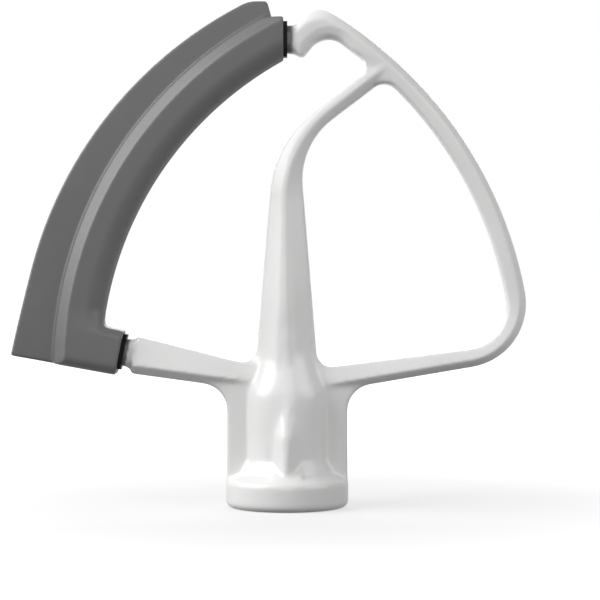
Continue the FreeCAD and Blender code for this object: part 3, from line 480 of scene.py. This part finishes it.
def skinned_copy(node, name, cell):
    """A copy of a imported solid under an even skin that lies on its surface."""
    source = node_object(node)
    piece = bpy.data.objects.new(name, source.data.copy())
    bpy.context.scene.collection.objects.link(piece)
    piece.matrix_world = source.matrix_world.copy()
    remesh = piece.modifiers.new("Skin", "REMESH")
    remesh.mode = "VOXEL"
    remesh.voxel_size = cell
    remesh.use_smooth_shade = True
    lie_on = piece.modifiers.new("Lie on", "SHRINKWRAP")
    lie_on.target = source
    lie_on.wrap_method = "NEAREST_SURFACEPOINT"
    take_shape(piece)
    return piece


def take_shape(piece):
    """Make the piece's modifiers its real shape."""
    before = piece.data
    view = bpy.context.evaluated_depsgraph_get()
    shaped = bpy.data.meshes.new_from_object(piece.evaluated_get(view))
    piece.modifiers.clear()
    piece.data = shaped
    bpy.data.meshes.remove(before)
    shaped.name = piece.name


def soften_corners(piece, passes):
    smooth = piece.modifiers.new("Soften", "SMOOTH")
    smooth.factor = 0.5
    smooth.iterations = passes
    take_shape(piece)


def blend_relief(piece, passes, share_at):
    """Melt the relief in front and behind, and leave the outline seen from the front as it is."""
    group = piece.vertex_groups.new(name="relief")
    for vertex in piece.data.vertices:
        share = share_at(vertex.co)
        if share > 0.0:
            group.add([vertex.index], share, "REPLACE")
    smooth = piece.modifiers.new("Blend", "SMOOTH")
    smooth.factor = 0.5
    smooth.iterations = passes
    smooth.use_x = False
    smooth.use_z = False
    smooth.vertex_group = group.name
    take_shape(piece)
    piece.vertex_groups.clear()


def ease(value, low, high):
    """A soft step from nought at low to one at high."""
    share = min(max((value - low) / (high - low), 0.0), 1.0)
    return share * share * (3.0 - 2.0 * share)


def along_ribs(place):
    """How close a point is to the line up which the ribs lean in and run out."""
    low, high = RIB_HEIGHTS
    past = place.z - min(max(place.z, low), high)
    return 1.0 - ease(math.hypot(place.x, past), *RIB_REACH)


def near_root(place):
    """How close a point is to where the hub, the spine and the two arms meet."""
    return 1.0 - ease(math.hypot(place.x, place.z - ROOT_HEIGHT), *ROOT_REACH)


def fill_out_hook(piece):
    """Flatten the hook's ridge into a fuller face, as it is where the casting is thickest."""
    for vertex in piece.data.vertices:
        reach = math.hypot(vertex.co.x - HOOK_MIDDLE.x, vertex.co.z - HOOK_MIDDLE.y)
        share = 1.0 - ease(reach, *HOOK_REACH)
        if share > 0.0 and vertex.co.x > HOOK_FACE_X:
            depth = abs(vertex.co.y)
            full = RIDGE_HALF_DEPTH * (depth / RIDGE_HALF_DEPTH) ** HOOK_FULLNESS
            vertex.co.y = math.copysign(depth + (full - depth) * share, vertex.co.y)


def shoulder_radius(height):
    """Radius of the shoulder over the collar, and of the tube's flare over it."""
    if height < TUBE_FLARE.y:
        share = (height - SHOULDER.y) / (TUBE_FLARE.y - SHOULDER.y)
        return SHOULDER.x + (TUBE_FLARE.x - SHOULDER.x) * share
    share = (height - TUBE_FLARE.y) / (TUBE_FOOT.y - TUBE_FLARE.y)
    return TUBE_FLARE.x + (TUBE_FOOT.x - TUBE_FLARE.x) * share


def draw_in_shoulder(piece):
    """Flatten the shoulder over the collar between the webs and the ribs."""
    for vertex in piece.data.vertices:
        place = vertex.co
        if not SHOULDER.y < place.z < TUBE_FOOT.y:
            continue
        web_half = WEB_HALF_DEPTH - (abs(place.x) - TUBE_FOOT.x) * WEB_TAPER
        beside_web = ease(abs(place.y) - web_half, *SHOULDER_FADE)
        beside_rib = ease(abs(place.x) - RIB_HALF_WIDTH, *SHOULDER_FADE)
        radius, wanted = math.hypot(place.x, place.y), shoulder_radius(place.z)
        if radius > wanted:
            share = beside_web * beside_rib
            drawn = 1.0 + (wanted / radius - 1.0) * share
            place.x, place.y = place.x * drawn, place.y * drawn


def rolled_half(half_depth, roll, inset):
    """Half thickness that a rolled edge leaves at a distance in from the outline."""
    if inset >= roll:
        return half_depth
    rise = roll - max(inset, 0.0)
    return half_depth - roll + math.sqrt(roll * roll - rise * rise)


def press_to(vertex, half, share=1.0):
    """Bring a point that stands further out than half, in front or behind, back to it."""
    depth = abs(vertex.co.y)
    if depth > half:
        pressed = depth + (half - depth) * share
        vertex.co.y = math.copysign(pressed, vertex.co.y)


def roll_arch_edge(piece):
    """Roll the edge inside the hook's leg and arch over, where the casting is thick and round."""
    along = Vector((math.cos(HOOK_LEG_SLOPE), math.sin(HOOK_LEG_SLOPE)))
    out = Vector((along.y, -along.x))
    leg_end = ARCH_CENTRE - out * ARCH_RADIUS
    for vertex in piece.data.vertices:
        place = Vector((vertex.co.x, vertex.co.z))
        if place.x < HOOK_FACE_X or place.y < HOOK_TIP_HEIGHT:
            continue
        if (place - leg_end).dot(along) < 0.0:
            inset = -(place - leg_end).dot(out)
        else:
            inset = (place - ARCH_CENTRE).length - ARCH_RADIUS
        if -ARCH_ROLL < inset < ARCH_ROLL:
            share = 1.0 - ease(place.x, *ARCH_FADE)
            press_to(vertex, rolled_half(ARCH_HALF_DEPTH, ARCH_ROLL, inset), share)


def roll_edge_sides(piece):
    """Roll over the flexible edge's inner side and its underside, which are moulded round."""
    for vertex in piece.data.vertices:
        place = Vector((vertex.co.x, vertex.co.z))
        inset = (place - SWEEP_CENTRE).length - SWEEP_INNER_RADIUS
        if -INNER_ROLL < inset < BODY_WIDTH:
            share = ease(place.y, *INNER_ROLL_FADE)
            crown = EDGE_HALF_DEPTH - BODY_LEAN * (BODY_WIDTH - inset)
            press_to(vertex, rolled_half(crown, INNER_ROLL, inset), share)
        fall = (place.x - UNDERSIDE_POINT.x) * math.tan(UNDERSIDE_SLOPE)
        inset = (place.y - UNDERSIDE_POINT.y + fall) * math.cos(UNDERSIDE_SLOPE)
        if inset < UNDERSIDE_ROLL:
            press_to(vertex, rolled_half(EDGE_HALF_DEPTH, UNDERSIDE_ROLL, inset))


def mark_painted_neck_shade(piece):
    """Mark the neck beside the flexible edge's black ring, which gets a band of painted shade."""
    along_foot = Vector((-math.cos(BAR_FOOT_SLOPE), math.sin(BAR_FOOT_SLOPE)))
    shade_marks = piece.data.attributes.new("painted_neck_shade", "FLOAT", "POINT")
    for vertex, mark in zip(piece.data.vertices, shade_marks.data):
        place = Vector((vertex.co.x, vertex.co.z))
        if place.y > BAR_TOP_REGION:
            past = BAR_TOP_END_X - place.x
        else:
            past = (place - BAR_FOOT_END).dot(along_foot)
        mark.value = ease(past, -BAR_EDGE, BAR_EDGE)


def keep_inside(piece, node):
    """Bring any point of the skin that stands proud back to the solid's own box."""
    low, high = (Vector(corner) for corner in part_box(node))
    for vertex in piece.data.vertices:
        for axis in range(3):
            vertex.co[axis] = min(max(vertex.co[axis], low[axis]), high[axis])
    piece.data.update()


def finish_piece(piece, node, finish):
    wear_finish(piece, finish)
    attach(piece, "root")
    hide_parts(node)


class BEATER_OT_casting(bpy.types.Operator):
    """Lay the glossy white coat over the casting"""

    bl_idname = "beater.casting"
    bl_label = "Coated casting"

    def execute(self, context):
        settings = context.scene.beater_casting
        piece = skinned_copy("beater_frame", "coated_frame", settings.skin_size)
        fill_out_hook(piece)
        draw_in_shoulder(piece)
        soften_corners(piece, settings.skin_passes)
        blend_relief(piece, settings.rib_passes, along_ribs)
        blend_relief(piece, settings.root_passes, near_root)
        roll_arch_edge(piece)
        soften_corners(piece, settings.last_passes)
        keep_inside(piece, "beater_frame")
        mark_painted_neck_shade(piece)
        finish_piece(piece, "beater_frame", coated_casting_finish(settings))
        return {"FINISHED"}


class BEATER_OT_carrier(bpy.types.Operator):
    """Give the sleeve inside the flexible edge its black nylon finish"""

    bl_idname = "beater.carrier"
    bl_label = "Edge carrier"

    def execute(self, context):
        wear_finish(node_object("edge_carrier"), nylon_finish(context.scene.beater_carrier))
        return {"FINISHED"}


class BEATER_OT_flex_edge(bpy.types.Operator):
    """Soften the flexible edge's moulded corners and give it its grey silicone"""

    bl_idname = "beater.flex_edge"
    bl_label = "Flexible edge"

    def execute(self, context):
        settings = context.scene.beater_edge
        piece = skinned_copy("flex_edge", "silicone_edge", settings.skin_size)
        roll_edge_sides(piece)
        soften_corners(piece, settings.skin_passes)
        keep_inside(piece, "flex_edge")
        finish_piece(piece, "flex_edge", silicone_finish(settings))
        return {"FINISHED"}


# Studio


def seen_directly(nodes, links, path):
    """One for what the camera sees, straight, in gloss or through glass, and nought for other light."""
    seen = path.outputs["Is Camera Ray"]
    for kind in ("Is Glossy Ray", "Is Transmission Ray"):
        either = nodes.new("ShaderNodeMath")
        either.operation = "MAXIMUM"
        links.new(seen, either.inputs[0])
        links.new(path.outputs[kind], either.inputs[1])
        seen = either.outputs["Value"]
    return either


def white_ground_finish(settings):
    """A pale ground that keeps the beater's shadow and runs out to white around it."""
    finish = bpy.data.materials.new("White ground")
    finish.use_nodes = True
    nodes, links = finish.node_tree.nodes, finish.node_tree.links
    nodes.clear()
    output = nodes.new("ShaderNodeOutputMaterial")
    matt = nodes.new("ShaderNodeBsdfDiffuse")
    lift = nodes.new("ShaderNodeEmission")
    path = nodes.new("ShaderNodeLightPath")
    shade = nodes.new("ShaderNodeMix")
    shade.data_type = "RGBA"
    shade.inputs["A"].default_value = opaque((settings.ground_bounce,) * 3)
    shade.inputs["B"].default_value = opaque((settings.ground_shade,) * 3)
    links.new(path.outputs["Is Camera Ray"], shade.inputs["Factor"])
    links.new(shade.outputs["Result"], matt.inputs["Color"])
    seen = seen_directly(nodes, links, path)
    place = nodes.new("ShaderNodeTexCoord")
    distance = nodes.new("ShaderNodeVectorMath")
    distance.operation = "LENGTH"
    links.new(place.outputs["Object"], distance.inputs[0])
    run_out = nodes.new("ShaderNodeMapRange")
    run_out.interpolation_type = "SMOOTHSTEP"
    run_out.inputs["From Min"].default_value = SHADOW_GROUND
    run_out.inputs["From Max"].default_value = WHITE_GROUND
    run_out.inputs["To Min"].default_value = settings.ground_lift
    run_out.inputs["To Max"].default_value = 1.0
    links.new(distance.outputs["Value"], run_out.inputs["Value"])
    strength = nodes.new("ShaderNodeMath")
    strength.operation = "MULTIPLY"
    links.new(seen.outputs["Value"], strength.inputs[0])
    links.new(run_out.outputs["Result"], strength.inputs[1])
    links.new(strength.outputs["Value"], lift.inputs["Strength"])
    both = nodes.new("ShaderNodeAddShader")
    links.new(matt.outputs["BSDF"], both.inputs[0])
    links.new(lift.outputs["Emission"], both.inputs[1])
    links.new(both.outputs["Shader"], output.inputs["Surface"])
    return finish


def studio_world(room_level):
    """White to the camera and in reflections, and a soft room light for everything else."""
    world = bpy.data.worlds.new("Studio")
    world.use_nodes = True
    nodes, links = world.node_tree.nodes, world.node_tree.links
    background = nodes["Background"]
    background.inputs["Color"].default_value = (1.0, 1.0, 1.0, 1.0)
    path = nodes.new("ShaderNodeLightPath")
    seen = seen_directly(nodes, links, path)
    level = nodes.new("ShaderNodeMapRange")
    level.inputs["To Min"].default_value = room_level
    level.inputs["To Max"].default_value = 1.0
    links.new(seen.outputs["Value"], level.inputs["Value"])
    links.new(level.outputs["Result"], background.inputs["Strength"])
    bpy.context.scene.world = world


def softbox(name, power, to_left, up, size):
    """A square soft lamp that looks at the beater's middle from so many degrees round and up."""
    lamp = bpy.data.lights.new(name, "AREA")
    lamp.shape = "SQUARE"
    lamp.size = size
    lamp.energy = power
    thing = bpy.data.objects.new(name, lamp)
    bpy.context.scene.collection.objects.link(thing)
    turn, rise = math.radians(to_left), math.radians(up)
    way = Vector((-math.cos(rise) * math.sin(turn), -math.cos(rise) * math.cos(turn),
                  math.sin(rise)))
    thing.location = LAMP_TARGET + way * LAMP_DISTANCE
    thing.rotation_euler = (-way).to_track_quat("-Z", "Y").to_euler()


def studio_camera(settings):
    """A level camera whose frame is moved down by its shift, as in product pictures."""
    camera = bpy.data.cameras.new("Camera")
    camera.sensor_width = 36.0
    camera.lens = camera.sensor_width * settings.view_distance / settings.view_width
    camera.shift_y = (settings.view_centre_height - settings.view_height) / settings.view_width
    camera.clip_start = 0.01
    thing = bpy.data.objects.new("Camera", camera)
    bpy.context.scene.collection.objects.link(thing)
    thing.location = (settings.view_centre_x, -settings.view_distance, settings.view_height)
    thing.rotation_euler = (math.radians(90.0), 0.0, 0.0)
    bpy.context.scene.camera = thing


class BEATER_OT_studio(bpy.types.Operator):
    """Build the white ground, the lamps and the camera"""

    bl_idname = "beater.studio"
    bl_label = "Studio"

    def execute(self, context):
        settings = context.scene.beater_studio
        mesh = bpy.data.meshes.new("ground")
        far = GROUND_HALF
        corners = [(-far, -far, 0.0), (far, -far, 0.0), (far, far, 0.0), (-far, far, 0.0)]
        mesh.from_pydata(corners, [], [(0, 1, 2, 3)])
        ground = bpy.data.objects.new("ground", mesh)
        context.scene.collection.objects.link(ground)
        wear_finish(ground, white_ground_finish(settings))
        softbox("Key lamp", settings.key_power, to_left=75.0, up=32.0, size=0.70)
        softbox("Right lamp", settings.right_power, to_left=-60.0, up=20.0, size=0.50)
        softbox("Front lamp", settings.front_power, to_left=0.0, up=15.0, size=0.50)
        softbox("Back lamp", settings.back_power, to_left=180.0, up=25.0, size=0.60)
        studio_world(settings.room_level)
        studio_camera(settings)
        context.scene.view_settings.view_transform = "Standard"
        return {"FINISHED"}


class BEATER_PT_sidebar(bpy.types.Panel):
    """Buttons and settings for the flat beater"""

    bl_idname = "BEATER_PT_sidebar"
    bl_label = "Flat beater"
    bl_space_type = "VIEW_3D"
    bl_region_type = "UI"
    bl_category = "Beater"

    def draw(self, context):
        sections = (
            (BEATER_OT_casting, context.scene.beater_casting),
            (BEATER_OT_carrier, context.scene.beater_carrier),
            (BEATER_OT_flex_edge, context.scene.beater_edge),
            (BEATER_OT_studio, context.scene.beater_studio),
        )
        for operator, settings in sections:
            box = self.layout.box()
            box.operator(operator.bl_idname)
            for setting in settings.bl_rna.properties:
                if not setting.is_readonly and setting.identifier != "name":
                    box.prop(settings, setting.identifier)


SETTINGS = {
    "beater_casting": CastingSettings,
    "beater_edge": EdgeSettings,
    "beater_carrier": CarrierSettings,
    "beater_studio": StudioSettings,
}
OPERATORS = (BEATER_OT_casting, BEATER_OT_carrier, BEATER_OT_flex_edge, BEATER_OT_studio)


def register():
    for name, group in SETTINGS.items():
        bpy.utils.register_class(group)
        setattr(bpy.types.Scene, name, bpy.props.PointerProperty(type=group))
    for operator in OPERATORS:
        bpy.utils.register_class(operator)
    bpy.utils.register_class(BEATER_PT_sidebar)


def unregister():
    bpy.utils.unregister_class(BEATER_PT_sidebar)
    for operator in reversed(OPERATORS):
        bpy.utils.unregister_class(operator)
    for name, group in reversed(SETTINGS.items()):
        delattr(bpy.types.Scene, name)
        bpy.utils.unregister_class(group)


def main():
    register()
    bpy.ops.beater.casting()
    bpy.ops.beater.carrier()
    bpy.ops.beater.flex_edge()
    bpy.ops.beater.studio()


if __name__ == "__main__":
    main()
